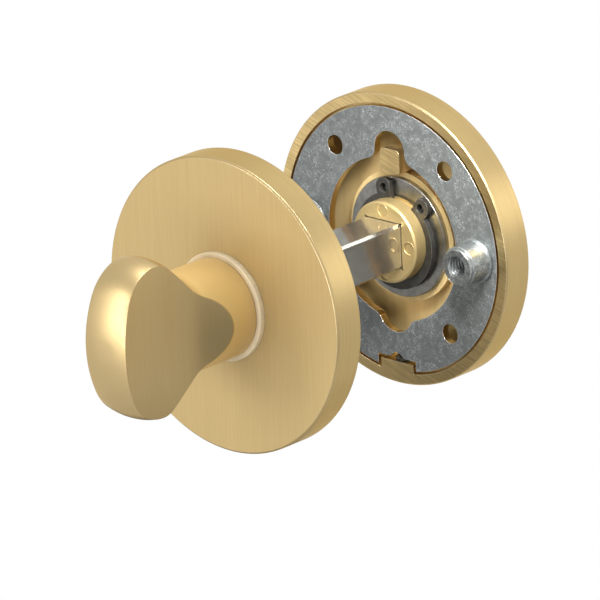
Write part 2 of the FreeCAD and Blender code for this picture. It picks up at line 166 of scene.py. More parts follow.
class LockSteel(bpy.types.PropertyGroup):
    """The zinc plate, the bare steel and the nylon"""

    zinc: bpy.props.FloatVectorProperty(
        name="Zinc", description="Colour of the zinc plated steel", subtype="COLOR",
        size=3, min=0, max=1, default=(0.18, 0.193, 0.19))
    spring: bpy.props.FloatVectorProperty(
        name="Spring steel", description="Colour of the retaining clips", subtype="COLOR",
        size=3, min=0, max=1, default=(0.043, 0.041, 0.035))
    washer: bpy.props.FloatVectorProperty(
        name="Washer", description="Colour of the thrust washers", subtype="COLOR",
        size=3, min=0, max=1, default=(0.24, 0.235, 0.215))
    nylon: bpy.props.FloatVectorProperty(
        name="Nylon", description="Colour of the bushes", subtype="COLOR",
        size=3, min=0, max=1, default=(0.72, 0.61, 0.42))


class LockShape(bpy.types.PropertyGroup):
    """Small shapes that the frame leaves out"""

    blade_edge: bpy.props.FloatProperty(
        name="Blade edge", description="Rounding along the edges of the thumb turn's flats",
        unit="LENGTH", min=0.00005, max=0.0006, default=0.00028, precision=5)
    thread_pitch: bpy.props.FloatProperty(
        name="Thread pitch", description="Pitch of the thread in the posts",
        unit="LENGTH", min=0.0003, max=0.0012, default=0.0007, precision=4)
    thread_root: bpy.props.FloatProperty(
        name="Thread root", description="Radius at the bottom of the post's thread",
        unit="LENGTH", min=0.0018, max=0.0022, default=0.002, precision=4)
    thread_crest: bpy.props.FloatProperty(
        name="Thread crest", description="Radius at the top of the post's thread",
        unit="LENGTH", min=0.0014, max=0.0018, default=0.00165, precision=5)


class LockStage(bpy.types.PropertyGroup):
    """Floor, lamps and camera"""

    floor_drop: bpy.props.FloatProperty(
        name="Floor", description="How far the floor lies below the spindle", unit="LENGTH",
        min=0.03, max=1, default=0.16)
    floor_radius: bpy.props.FloatProperty(
        name="Floor radius", description="Radius of the round floor", unit="LENGTH",
        min=0.1, max=3, default=0.17)
    floor_tone: bpy.props.FloatVectorProperty(
        name="Floor colour", description="Colour of the floor", subtype="COLOR",
        size=3, min=0, max=1, default=(0.72, 0.72, 0.715))
    lamp_level: bpy.props.FloatProperty(
        name="Lamps", description="Strength of all lamps together", min=0, max=5, default=1)
    azimuth: bpy.props.FloatProperty(
        name="Azimuth", description="How far the camera stands to the right of the thumb turn",
        subtype="ANGLE", default=math.radians(42.17))
    elevation: bpy.props.FloatProperty(
        name="Elevation", description="How far the camera stands above the spindle",
        subtype="ANGLE", default=math.radians(21.0))
    tilt: bpy.props.FloatProperty(
        name="Tilt", description="Turn of the camera's place about the spindle",
        subtype="ANGLE", default=math.radians(3.0))
    distance: bpy.props.FloatProperty(
        name="Distance", description="From the camera to the spindle's origin",
        unit="LENGTH", min=0.3, max=5, default=1.7157, precision=4)
    lens: bpy.props.FloatProperty(
        name="Lens", description="Focal length in millimetres", min=20, max=2000,
        default=611.4)
    aside: bpy.props.FloatProperty(
        name="Aside", description="How far the camera stands to the right of its aim",
        unit="LENGTH", default=0.00902, precision=5)
    lift: bpy.props.FloatProperty(
        name="Lift", description="How far the camera stands above its aim",
        unit="LENGTH", default=-0.00059, precision=5)


# Shader nodes


def feed(tree, value, socket):
    """Link an output to a socket, or give the socket a plain value."""
    if isinstance(value, bpy.types.NodeSocket):
        tree.links.new(value, socket)
    else:
        socket.default_value = value


def give(tree, node, inputs):
    """Give a node its inputs: plain values or the outputs of other nodes."""
    for socket, value in inputs.items():
        feed(tree, value, node.inputs[socket])


def put(tree, kind, inputs=None, **fields):
    """A new node with its fields set and its inputs given."""
    made = tree.nodes.new(kind)
    for field, value in fields.items():
        setattr(made, field, value)
    give(tree, made, inputs or {})
    return made


def calc(tree, operation, first, second=0.0, clamp=False):
    """The result of one sum on numbers."""
    return put(tree, "ShaderNodeMath", {0: first, 1: second}, operation=operation,
               use_clamp=clamp).outputs[0]


def ramp(tree, value, low, high, start=0.0, end=1.0):
    """value carried from low..high to start..end, held at both ends."""
    return put(tree, "ShaderNodeMapRange",
               {0: value, 1: low, 2: high, 3: start, 4: end}).outputs[0]


def noise(tree, place, scale, detail, roughness=0.5, distortion=0.0):
    """Plain noise; scale is how often it repeats over one unit of place."""
    return put(tree, "ShaderNodeTexNoise",
               {"Vector": place, "Scale": scale, "Detail": detail, "Roughness": roughness,
                "Distortion": distortion}).outputs[0]


def span(tree, first, second):
    """The length of two distances at right angles."""
    both = put(tree, "ShaderNodeCombineXYZ", {0: first, 1: second}).outputs[0]
    return put(tree, "ShaderNodeVectorMath", {0: both}, operation="LENGTH").outputs["Value"]


def blend_value(tree, factor, first, second):
    """Two numbers mixed by a factor."""
    return put(tree, "ShaderNodeMix", {0: factor, 2: first, 3: second}).outputs[0]


def blend_colour(tree, factor, first, second):
    """Two colours mixed by a factor."""
    mix = put(tree, "ShaderNodeMix", {0: factor}, data_type="RGBA")
    for socket, value in ((6, first), (7, second)):
        linked = isinstance(value, bpy.types.NodeSocket)
        feed(tree, value if linked else (*value, 1), mix.inputs[socket])
    return mix.outputs[2]


def tint(colour, level):
    """A colour made lighter or darker."""
    return tuple(min(1.0, part * level) for part in colour)


def paler(colour, kept):
    """A colour moved towards white, with a share of its distance from white kept."""
    return tuple(1 - (1 - part) * kept for part in colour)


def shades(tree, factor, tone, low, high):
    """One tone at two levels, mixed by a factor."""
    return blend_colour(tree, factor, tint(tone, low), tint(tone, high))


def lay_over(tree, colour, mask, strength, over):
    """A colour with another one over it where a mask is, at a strength."""
    return blend_colour(tree, calc(tree, "MULTIPLY", mask, strength), colour, over)


def new_group(name, takes, gives):
    """An empty shader group with named inputs and outputs; returns it with its two ends."""
    group = bpy.data.node_groups.new(name, "ShaderNodeTree")
    for label, kind, value in takes:
        socket = group.interface.new_socket(label, in_out="INPUT", socket_type=kind)
        if value is not None:
            socket.default_value = value
    for label, kind in gives:
        group.interface.new_socket(label, in_out="OUTPUT", socket_type=kind)
    return group, group.nodes.new("NodeGroupInput"), group.nodes.new("NodeGroupOutput")


NUMBER = "NodeSocketFloat"
VECTOR = "NodeSocketVector"


def brush_group():
    """Brush lines that run along Z: fine strokes over broader ones."""
    tree, into, out = new_group(
        "Brush lines",
        [("Place", VECTOR, None), ("Width", NUMBER, 0.25), ("Length", NUMBER, 15.0)],
        [("Lines", NUMBER), ("Bands", NUMBER)])
    width, length = into.outputs["Width"], into.outputs["Length"]
    size = put(tree, "ShaderNodeCombineXYZ", {0: width, 1: width, 2: length}).outputs[0]
    spot = put(tree, "ShaderNodeVectorMath", {0: into.outputs["Place"], 1: size},
               operation="DIVIDE").outputs[0]
    feed(tree, noise(tree, spot, 1.0, 4.0, 0.62), out.inputs["Lines"])
    feed(tree, noise(tree, spot, 0.13, 2.0), out.inputs["Bands"])
    return tree


def lathe_group():
    """Rings that a turning tool leaves round the spindle's axis."""
    tree, into, out = new_group(
        "Lathe rings", [("Place", VECTOR, None), ("Width", NUMBER, 0.25)],
        [("Rings", NUMBER)])
    parts = put(tree, "ShaderNodeSeparateXYZ", {0: into.outputs["Place"]}).outputs
    ring = calc(tree, "DIVIDE", span(tree, parts[0], parts[2]), into.outputs["Width"])
    depth = calc(tree, "DIVIDE", parts[1], into.outputs["Width"])
    drift = calc(tree, "MULTIPLY", calc(tree, "ADD", parts[0], parts[2]), 0.05)
    spot = put(tree, "ShaderNodeCombineXYZ", {0: ring, 1: depth, 2: drift}).outputs[0]
    feed(tree, noise(tree, spot, 1.0, 3.0, 0.6), out.inputs["Rings"])
    return tree


def edge_group():
    """Softened and rubbed edges: a mask along them, which the finishes paint paler as wear and
    as a painted highlight, and the normal that rounds them.
    """
    tree, into, out = new_group(
        "Rubbed edges with painted highlight",
        [("Place", VECTOR, None), ("Radius", NUMBER, 0.0002)],
        [("Mask", NUMBER), ("Normal", VECTOR)])
    soft = put(tree, "ShaderNodeBevel", {"Radius": into.outputs["Radius"]},
               samples=4).outputs[0]
    flat = put(tree, "ShaderNodeNewGeometry").outputs["Normal"]
    meet = put(tree, "ShaderNodeVectorMath", {0: soft, 1: flat},
               operation="DOT_PRODUCT").outputs["Value"]
    line = ramp(tree, meet, 0.995, 0.90)
    kept = ramp(tree, noise(tree, into.outputs["Place"], 1.1, 3.0), 0.35, 0.6, 0.45, 1.0)
    feed(tree, calc(tree, "MULTIPLY", line, kept), out.inputs["Mask"])
    feed(tree, soft, out.inputs["Normal"])
    return tree


def scratch_group():
    """Thin scratches in three directions, few and broken."""
    tree, into, out = new_group(
        "Fine scratches",
        [("Place", VECTOR, None), ("Amount", NUMBER, 0.5)], [("Mask", NUMBER)])
    low = calc(tree, "SUBTRACT", 0.80, calc(tree, "MULTIPLY", into.outputs["Amount"], 0.12))
    high = calc(tree, "ADD", low, 0.03)
    total = None
    for turn, shift in ((0.6, 0.0), (-0.9, 7.3), (1.4, 3.1)):
        spot = put(tree, "ShaderNodeMapping",
                   {"Vector": into.outputs["Place"], "Location": (shift, 0, shift),
                    "Rotation": (0, turn, 0), "Scale": (5.5, 1.0, 0.45)}).outputs[0]
        line = ramp(tree, noise(tree, spot, 1.0, 2.0, 0.55, 0.3), low, high)
        total = line if total is None else calc(tree, "MAXIMUM", total, line)
    feed(tree, total, out.inputs["Mask"])
    return tree


def mottle_group():
    """The small crystals and flecks of a zinc coating."""
    tree, into, out = new_group(
        "Zinc flecks",
        [("Place", VECTOR, None), ("Size", NUMBER, 1.0)],
        [("Clouds", NUMBER), ("Flecks", NUMBER), ("Grain", NUMBER)])
    scale = calc(tree, "DIVIDE", 1.0, into.outputs["Size"])
    spot = put(tree, "ShaderNodeVectorMath", {0: into.outputs["Place"], "Scale": scale},
               operation="SCALE").outputs[0]
    bent = noise(tree, spot, 1.1, 2.0, 0.6, 1.2)
    off_middle = calc(tree, "ABSOLUTE", calc(tree, "SUBTRACT", bent, 0.5))
    line = ramp(tree, off_middle, 0.0, 0.028, 1.0, 0.0)
    patches = ramp(tree, noise(tree, spot, 0.45, 2.0), 0.42, 0.52)
    feed(tree, noise(tree, spot, 0.6, 4.0, 0.6), out.inputs["Clouds"])
    feed(tree, calc(tree, "MULTIPLY", line, patches), out.inputs["Flecks"])
    feed(tree, noise(tree, spot, 2.4, 3.0, 0.7), out.inputs["Grain"])
    return tree


GROUP_MAKERS = {"brush": brush_group, "lathe": lathe_group, "edges": edge_group,
                "scratches": scratch_group, "mottle": mottle_group}
GROUPS = {}


def use(tree, effect, inputs):
    """A shared effect placed in a material with its own values; returns its outputs."""
    if effect not in GROUPS:
        GROUPS[effect] = GROUP_MAKERS[effect]()
    return put(tree, "ShaderNodeGroup", inputs, node_tree=GROUPS[effect]).outputs


def new_finish(name):
    """An empty material with its surface shader; returns it, its tree and the shader."""
    material = bpy.data.materials.new(name)
    material.use_nodes = True
    tree = material.node_tree
    return material, tree, tree.nodes["Principled BSDF"]


def place_mm(tree):
    """Object coordinates in millimetres."""
    place = put(tree, "ShaderNodeTexCoord").outputs["Object"]
    return put(tree, "ShaderNodeVectorMath", {0: place, "Scale": 1 / MM},
               operation="SCALE").outputs[0]


def faces_along(tree):
    """1 where a face looks along the spindle and 0 where it looks aside."""
    normal = put(tree, "ShaderNodeTexCoord").outputs["Normal"]
    parts = put(tree, "ShaderNodeSeparateXYZ", {0: normal})
    return calc(tree, "ABSOLUTE", parts.outputs[1])


def bumped(tree, height, distance, strength, normal):
    """The normal that a height in the range 0 to 1 gives."""
    return put(tree, "ShaderNodeBump", {"Height": height, "Distance": distance,
                                        "Strength": strength, "Normal": normal}).outputs[0]


def satin_brass(settings):
    """The roses: strokes on the front, file marks on the door side and rings elsewhere; the
    sunk inside is painted lighter as painted light, and the edges are paler as wear and a
    painted highlight.
    """
    material, tree, shader = new_finish("satin brass")
    tone = settings.tone
    place = place_mm(tree)
    parts = put(tree, "ShaderNodeSeparateXYZ", {0: place}).outputs
    from_middle = calc(tree, "ABSOLUTE", calc(tree, "SUBTRACT", parts[1], DOOR_MIDDLE))
    depth = calc(tree, "SUBTRACT", from_middle, DOOR_MIDDLE)
    flat = ramp(tree, faces_along(tree), 0.80, 0.95)
    on_front = calc(tree, "MULTIPLY", flat, calc(tree, "GREATER_THAN", depth, FRONT_DEPTH))
    on_door = calc(tree, "MULTIPLY", flat, calc(tree, "LESS_THAN", depth, FILED_DEPTH))
    near_axis = calc(tree, "LESS_THAN", span(tree, parts[0], parts[2]), PAINTED_LIGHT_RADIUS)
    sunk = calc(tree, "MULTIPLY", calc(tree, "LESS_THAN", depth, PAINTED_LIGHT_END),
                ramp(tree, depth, PAINTED_LIGHT_START, PAINTED_LIGHT_FULL))
    painted_light_inside = calc(tree, "MULTIPLY", near_axis, sunk)

    strokes = use(tree, "brush", {
        "Place": place, "Width": settings.line_width, "Length": settings.line_length})
    rings = use(tree, "lathe", {"Place": place, "Width": settings.line_width * 0.8})
    turned = put(tree, "ShaderNodeMapping",
                 {"Vector": place, "Rotation": (0, math.radians(73), 0)}).outputs[0]
    marks = use(tree, "brush", {"Place": turned, "Width": 0.3, "Length": 7.0})
    lines = blend_value(tree, on_front, rings["Rings"], strokes["Lines"])
    lines = blend_value(tree, on_door, lines, marks["Lines"])
    edges = use(tree, "edges", {"Place": place, "Radius": 0.00014})
    scratches = use(tree, "scratches", {"Place": place, "Amount": 0.35})

    shade = ramp(tree, lines, 0.3, 0.7)
    colour = blend_colour(tree, on_front, shades(tree, shade, tone, 0.94, 1.06),
                          shades(tree, shade, tone, 0.91, 1.01))
    filed = shades(tree, ramp(tree, marks["Lines"], 0.35, 0.62), tone, 0.95, 1.45)
    colour = blend_colour(tree, on_door, colour, filed)
    # Painted light: the sunk inside is made about twice as light as the brass, standing in for
    # light in the recess.
    colour = lay_over(tree, colour, painted_light_inside, 0.8, tint(tone, 2.05))
    bands = ramp(tree, strokes["Bands"], 0.35, 0.65)
    colour = lay_over(tree, colour, bands, 0.25, tint(tone, 0.92))
    # Paler edges: partly rubbed wear, partly a painted highlight along the edges.
    colour = lay_over(tree, colour, edges["Mask"], 0.8, paler(tone, 0.72))
    colour = lay_over(tree, colour, scratches["Mask"], 0.2, paler(tone, 0.72))

    rough = calc(tree, "ADD", ramp(tree, lines, 0.3, 0.7, 0.41, 0.36),
                 calc(tree, "MULTIPLY", on_front, 0.2))
    rough = blend_value(tree, painted_light_inside, rough, 0.45)
    rough = blend_value(tree, edges["Mask"], rough, 0.22)
    metal = blend_value(tree, painted_light_inside, blend_value(tree, on_front, 1.0, 0.75), 0.45)
    give(tree, shader, {
        "Base Color": colour, "Roughness": rough, "Metallic": metal,
        "Coat Weight": blend_value(tree, on_front, 0.0, 0.15), "Coat Roughness": 0.35,
        "Specular Tint": BRASS_EDGE_TINT,
        "Normal": bumped(tree, lines, settings.line_depth, 0.8, edges["Normal"])})
    return material


def turn_brass(settings):
    """The thumb turn: strokes along Z on its flats, fine grain on its head and neck."""
    material, tree, shader = new_finish("thumb turn brass")
    tone = settings.tone
    place = place_mm(tree)
    parts = put(tree, "ShaderNodeSeparateXYZ", {0: place}).outputs
    aside = calc(tree, "SUBTRACT", calc(tree, "ABSOLUTE", parts[0]), SCOOP_ASIDE)
    forward = calc(tree, "ADD", parts[1], SCOOP_FORWARD)
    off_bar = calc(tree, "SUBTRACT", span(tree, aside, forward), SCOOP_RADIUS)
    on_flat = calc(tree, "LESS_THAN", calc(tree, "ABSOLUTE", off_bar), SCOOP_MARGIN)
    neck = calc(tree, "MULTIPLY", ramp(tree, parts[1], NECK_START, NECK_FULL),
                calc(tree, "SUBTRACT", 1.0, on_flat))

    strokes = use(tree, "brush", {
        "Place": place, "Width": settings.line_width, "Length": settings.line_length})
    lines = blend_value(tree, on_flat, noise(tree, place, 7.0, 3.0, 0.7), strokes["Lines"])
    edges = use(tree, "edges", {"Place": place, "Radius": 0.00012})
    colour = shades(tree, ramp(tree, lines, 0.3, 0.7), tone, 0.94, 1.06)
    # Paler edges: partly rubbed wear, partly a painted highlight along the edges.
    colour = lay_over(tree, colour, edges["Mask"], 0.45, paler(tone, 0.75))
    colour = blend_colour(tree, neck, colour, NECK_TONE)
    colour = lay_over(tree, colour, on_flat, 0.5, tint(tone, 0.95))

    rough = blend_value(tree, on_flat, blend_value(tree, neck, 0.38, 0.50), 0.40)
    rough = calc(tree, "ADD", rough, ramp(tree, lines, 0.3, 0.7, 0.02, -0.02))
    coat = blend_value(tree, neck, blend_value(tree, on_flat, 0.5, 0.25), 0.9)
    give(tree, shader, {
        "Base Color": colour, "Roughness": rough,
        "Metallic": blend_value(tree, neck, 1.0, 0.35),
        "Coat Weight": coat, "Coat Roughness": 0.35, "Specular Tint": BRASS_EDGE_TINT,
        "Normal": bumped(tree, lines, settings.line_depth, 0.8, edges["Normal"])})
    return material


def turned_brass(settings):
    """Bare turned brass with rings, stains and light scratches."""
    material, tree, shader = new_finish("turned brass")
    tone = settings.journal_tone
    place = place_mm(tree)
    rings = use(tree, "lathe", {"Place": place, "Width": 0.3})["Rings"]
    edges = use(tree, "edges", {"Place": place, "Radius": 0.0001})
    scratches = use(tree, "scratches", {"Place": place, "Amount": 0.6})
    colour = shades(tree, ramp(tree, rings, 0.3, 0.7), tone, 0.93, 1.06)
    stain = ramp(tree, noise(tree, place, 0.5, 4.0), 0.45, 0.7, 0, 0.35)
    colour = blend_colour(tree, stain, colour, tint(tone, 0.80))
    colour = lay_over(tree, colour, scratches["Mask"], 0.4, tint(tone, 0.55))
    # Paler edges: partly rubbed wear, partly a painted highlight along the edges.
    colour = lay_over(tree, colour, edges["Mask"], 0.2, paler(tone, 0.65))
    give(tree, shader, {
        "Base Color": colour, "Roughness": ramp(tree, rings, 0.3, 0.7, 0.50, 0.40),
        "Metallic": 0.8, "Normal": bumped(tree, rings, 0.000006, 0.7, edges["Normal"])})
    return material


def zinc(name, tone, size, roughness, grain_depth, scratched, metallic, spread,
         edge_wear_and_highlight, painted_reflection_share=0.0, bore=0.0):
    """Zinc plated steel: mottled, flecked, lightly scratched, and paler along its edges as
    wear and a painted highlight.

    The share given for the walls is how much of the brass round them is painted onto the side
    walls as a painted reflection, and the radius given for the bore is the radius in
    millimetres within which a post's thread is painted dark as painted shade.
    """
    material, tree, shader = new_finish(name)
    place = place_mm(tree)
    mottle = use(tree, "mottle", {"Place": place, "Size": size})
    edges = use(tree, "edges", {"Place": place, "Radius": 0.00016})
    scratches = use(tree, "scratches", {"Place": place, "Amount": scratched})
    colour = shades(tree, ramp(tree, mottle["Clouds"], 0.38, 0.62), tone,
                    1 - spread * 0.45, 1 + spread * 0.65)
    fleck = calc(tree, "MULTIPLY", mottle["Flecks"], spread * 4.5, clamp=True)
    colour = blend_colour(tree, fleck, colour, tint(tone, 3.2))
    grain = ramp(tree, mottle["Grain"], 0.3, 0.7)
    colour = lay_over(tree, colour, grain, spread * 2.6, tint(tone, 0.55))
    colour = lay_over(tree, colour, scratches["Mask"], 0.6, tint(tone, 2.4))
    # Painted reflection: the side walls take the brass colour and turn into a mirror, standing
    # in for the brass they reflect.
    painted_reflection_wall = ramp(tree, faces_along(tree), 0.5, 0.2, 0.0, painted_reflection_share)
    colour = blend_colour(tree, painted_reflection_wall, colour, PAINTED_WALL_REFLECTION)
    # Paler edges: partly rubbed wear, partly a painted highlight along the edges.
    colour = lay_over(tree, colour, edges["Mask"], edge_wear_and_highlight, ZINC_EDGE_WEAR_AND_HIGHLIGHT)
    # Painted shade: within the bore radius the thread is darkened, standing in for the shade
    # deep in the bore.
    if bore:
        parts = put(tree, "ShaderNodeSeparateXYZ", {0: place}).outputs
        across = calc(tree, "SUBTRACT", calc(tree, "ABSOLUTE", parts[0]), POST_ASIDE)
        painted_bore_shade = ramp(tree, span(tree, across, parts[2]), bore, bore - 0.35, 0.0, 0.8)
        colour = blend_colour(tree, painted_bore_shade, colour, tint(tone, 0.35))

    rough = ramp(tree, mottle["Clouds"], 0.3, 0.7, roughness + 0.07, roughness - 0.05)
    rough = blend_value(tree, edges["Mask"], rough, roughness * 0.7)
    height = calc(tree, "ADD", calc(tree, "MULTIPLY", mottle["Grain"], 0.6),
                  calc(tree, "MULTIPLY", mottle["Flecks"], 0.4))
    give(tree, shader, {
        "Base Color": colour, "Roughness": blend_value(tree, painted_reflection_wall, rough, 0.16),
        "Metallic": blend_value(tree, painted_reflection_wall, metallic, 1.0),
        "Normal": bumped(tree, height, grain_depth, 0.7, edges["Normal"])})
    return material


def rolled_steel(name, tone, edge_wear_and_highlight_tone, roughness, edge_wear_and_highlight, metallic):
    """Bare or blackened steel with a fine grain, and edges that are rubbed and carry a painted
    highlight.
    """
    material, tree, shader = new_finish(name)
    place = place_mm(tree)
    grain = noise(tree, place, 4.5, 4.0, 0.7)
    rings = use(tree, "lathe", {"Place": place, "Width": 0.35})
    edges = use(tree, "edges", {"Place": place, "Radius": 0.00014})
    scratches = use(tree, "scratches", {"Place": place, "Amount": 0.6})
    clouds = ramp(tree, noise(tree, place, 0.7, 3.0), 0.35, 0.65)
    colour = shades(tree, clouds, tone, 0.82, 1.18)
    colour = blend_colour(tree, ramp(tree, grain, 0.4, 0.7, 0, 0.2), colour, tint(tone, 0.7))
    # Paler edges and scratches: wear, with a painted highlight along the edges.
    wear_and_edge_highlight = calc(tree, "MAXIMUM",
                  calc(tree, "MULTIPLY", edges["Mask"], edge_wear_and_highlight),
                  calc(tree, "MULTIPLY", scratches["Mask"], 0.3))
    height = blend_value(tree, 0.5, grain, rings["Rings"])
    give(tree, shader, {
        "Base Color": blend_colour(tree, wear_and_edge_highlight, colour, edge_wear_and_highlight_tone),
        "Roughness": ramp(tree, grain, 0.3, 0.7, roughness - 0.05, roughness + 0.07),
        "Metallic": metallic,
        "Normal": bumped(tree, height, 0.000003, 0.5, edges["Normal"])})
    return material


def nylon(settings):
    """Pale, slightly see-through nylon with a moulded grain and darker patches."""
    material, tree, shader = new_finish("nylon")
    tone = settings.nylon
    place = place_mm(tree)
    grain = noise(tree, place, 3.0, 4.0, 0.6)
    edges = use(tree, "edges", {"Place": place, "Radius": 0.00016})
    patches = ramp(tree, noise(tree, place, 0.25, 2.0), 0.35, 0.65)
    colour = shades(tree, patches, tone, 0.90, 1.05)
    colour = blend_colour(tree, ramp(tree, grain, 0.45, 0.75, 0, 0.3), colour,
                          tint(tone, 0.85))
    give(tree, shader, {
        "Base Color": colour, "Roughness": ramp(tree, grain, 0.3, 0.7, 0.38, 0.50),
        "Subsurface Weight": 0.35, "Subsurface Radius": (0.0012, 0.0009, 0.0005),
        "Subsurface Scale": 1.0,
        "Normal": bumped(tree, grain, 0.00001, 0.4, edges["Normal"])})
    return material


# Pieces


def dress(slot_name, material):
    """Give a finish to every CAD node that takes the slot."""
    for name in SLOT_NODES[slot_name]:
        mesh = NODES[name].data
        mesh.materials.clear()
        mesh.materials.append(material)


def add(name, data):
    """A new object in the scene."""
    made = bpy.data.objects.new(name, data)
    bpy.context.scene.collection.objects.link(made)
    return made


def add_mesh(name, mesh, material):
    """A new object at the origin from a bmesh, which is used up."""
    data = bpy.data.meshes.new(name)
    mesh.to_mesh(data)
    mesh.free()
    data.materials.append(material)
    return add(name, data)


def finish_piece(name, mesh, material, sharp):
    """A new object from a bmesh, smooth below an edge angle in degrees."""
    bmesh.ops.recalc_face_normals(mesh, faces=mesh.faces)
    made = add_mesh(name, mesh, material)
    for face in made.data.polygons:
        face.use_smooth = True
    made.data.set_sharp_from_angle(angle=math.radians(sharp))
    return made


def draw(mesh, points):
    """A line through points given as radius and depth in metres; returns its geometry."""
    verts = [mesh.verts.new((radius, depth, 0)) for radius, depth in points]
    return verts + [mesh.edges.new(pair) for pair in zip(verts, verts[1:])]


def spin(mesh, geom, steps, turns=1, rise=0.0):
    """Turn a profile about the Y axis, closed, or as a helix that rises with every turn."""
    bmesh.ops.spin(mesh, geom=geom, cent=(0, 0, 0), axis=(0, 1, 0),
                   dvec=(0, rise / steps, 0), angle=math.tau * turns, steps=steps * turns,
                   use_merge=not rise, use_normal_flip=False, use_duplicate=False)


class LOCK_OT_roses(bpy.types.Operator):
    """Brush the two brass roses"""

    bl_idname = "lock.roses"
    bl_label = "Roses"

    def execute(self, context):
        dress("satin_brass", satin_brass(context.scene.lock_brass))
        return {"FINISHED"}


class LOCK_OT_release_turn(bpy.types.Operator):
    """Finish the release button and raise the stake marks on its journal"""

    bl_idname = "lock.release_turn"
    bl_label = "Release button"

    def execute(self, context):
        finish = turned_brass(context.scene.lock_brass)
        dress("turned_brass", finish)
        mesh = bmesh.new()
        for turn in range(4):
            spot = Vector((STAKE_PLACE, JOURNAL_END, 0)) * MM
            spot.rotate(Matrix.Rotation(turn * math.pi / 2, 3, "Y"))
            ring = raised_ring(mesh)
            bmesh.ops.translate(mesh, vec=spot, verts=ring)
        rings = finish_piece("stake_marks", mesh, finish, 60)
        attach(rings, "release_turn")
        return {"FINISHED"}


def raised_ring(mesh):
    """One stake mark, a thin raised ring about the Y axis; returns its vertices."""
    before = set(mesh.verts)
    made = bmesh.ops.create_circle(mesh, segments=10, radius=STAKE_RAISED * MM)
    bmesh.ops.translate(mesh, vec=(STAKE_RADIUS * MM, 0, 0), verts=made["verts"])
    edges = list({edge for vert in made["verts"] for edge in vert.link_edges})
    spin(mesh, made["verts"] + edges, steps=40)
    return [vert for vert in mesh.verts if vert not in before]


class LOCK_OT_plates(bpy.types.Operator):
    """Plate the mounting plates and the spindle with zinc"""

    bl_idname = "lock.plates"
    bl_label = "Plates and spindle"

    def execute(self, context):
        steel = context.scene.lock_steel
        sheet = zinc("zinc plated sheet", steel.zinc, size=0.8, roughness=0.32,
                     grain_depth=0.000012, scratched=0.8, metallic=0.5, spread=0.24,
                     edge_wear_and_highlight=0.75, painted_reflection_share=1.0)
        bar = zinc("zinc plated bar", BAR_TONE, size=1.4, roughness=0.14,
                   grain_depth=0.000002, scratched=0.3, metallic=0.95, spread=0.07,
                   edge_wear_and_highlight=1.0)
        dress("zinc_sheet", sheet)
        dress("zinc_bar", bar)
        return {"FINISHED"}


class LOCK_OT_small_parts(bpy.types.Operator):
    """Finish the washers, the clips, the bushes and the grub screws"""

    bl_idname = "lock.small_parts"
    bl_label = "Washers, clips, bushes and grub screws"

    def execute(self, context):
        steel = context.scene.lock_steel
        washer = rolled_steel("bright washer steel", steel.washer, WASHER_EDGE_WEAR_AND_HIGHLIGHT,
                              roughness=0.30, edge_wear_and_highlight=0.3, metallic=1.0)
        clip = rolled_steel("spring steel", steel.spring, STEEL_EDGE_WEAR_AND_HIGHLIGHT,
                            roughness=0.42, edge_wear_and_highlight=0.35, metallic=0.5)
        screw = rolled_steel("grub screw steel", tint(steel.spring, 1.2), STEEL_EDGE_WEAR_AND_HIGHLIGHT,
                             roughness=0.4, edge_wear_and_highlight=0.6, metallic=0.9)
        dress("bright_washer", washer)
        dress("spring_steel", clip)
        dress("screw_steel", screw)
        dress("nylon", nylon(steel))
        return {"FINISHED"}


class LOCK_OT_thumb_turn(bpy.types.Operator):
    """Round the edges of the thumb turn's flats"""

    bl_idname = "lock.thumb_turn"
    bl_label = "Thumb turn"

    def execute(self, context):
        rounding = context.scene.lock_shape.blade_edge
        mesh = bmesh.new()
        mesh.from_mesh(NODES["thumb_turn"].data)
        bmesh.ops.remove_doubles(mesh, verts=mesh.verts, dist=0.002 * MM)
        bmesh.ops.dissolve_limit(mesh, angle_limit=math.radians(0.3), verts=mesh.verts,
                                 edges=mesh.edges)
        fan = [vert for vert in mesh.verts if vert.co.y < DOME_FRONT * MM
               and math.hypot(vert.co.x, vert.co.z) < DOME_FAN_RADIUS * MM]
        bmesh.ops.dissolve_verts(mesh, verts=fan)
        edges = [edge for edge in mesh.edges if edge.is_manifold
                 and edge.calc_face_angle() > math.radians(SHARP_DEGREES)
                 and max(vert.co.y for vert in edge.verts) < ROUNDED_FRONT * MM]
        if not edges:
            raise RuntimeError("the thumb turn has no sharp edges to round")
        bmesh.ops.bevel(mesh, geom=edges, offset=rounding, offset_type="OFFSET", segments=3,
                        profile=0.5, affect="EDGES", clamp_overlap=True, material=-1)
        knob = finish_piece("thumb_turn_rounded", mesh,
                            turn_brass(context.scene.lock_brass), 40)
        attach(knob, "thumb_turn")
        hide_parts("thumb_turn")
        return {"FINISHED"}


class LOCK_OT_posts(bpy.types.Operator):
    """Cut a real thread into the two posts"""

    bl_idname = "lock.posts"
    bl_label = "Threaded posts"

    def execute(self, context):
        steel = context.scene.lock_steel
        finish = zinc("zinc plated post", tint(steel.zinc, 1.2), size=0.5, roughness=0.34,
                      grain_depth=0.000008, scratched=0.1, metallic=0.85, spread=0.25,
                      edge_wear_and_highlight=0.25, bore=POST_BORE)
        for side, aside in (("right", POST_ASIDE), ("left", -POST_ASIDE)):
            name = "threaded_post_" + side
            mesh = threaded_post(context.scene.lock_shape)
            bmesh.ops.translate(mesh, vec=(aside * MM, PLATE_FACE * MM, 0), verts=mesh.verts)
            post = finish_piece(name + "_cut", mesh, finish, 35)
            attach(post, "outside_half")
            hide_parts(name)
        return {"FINISHED"}


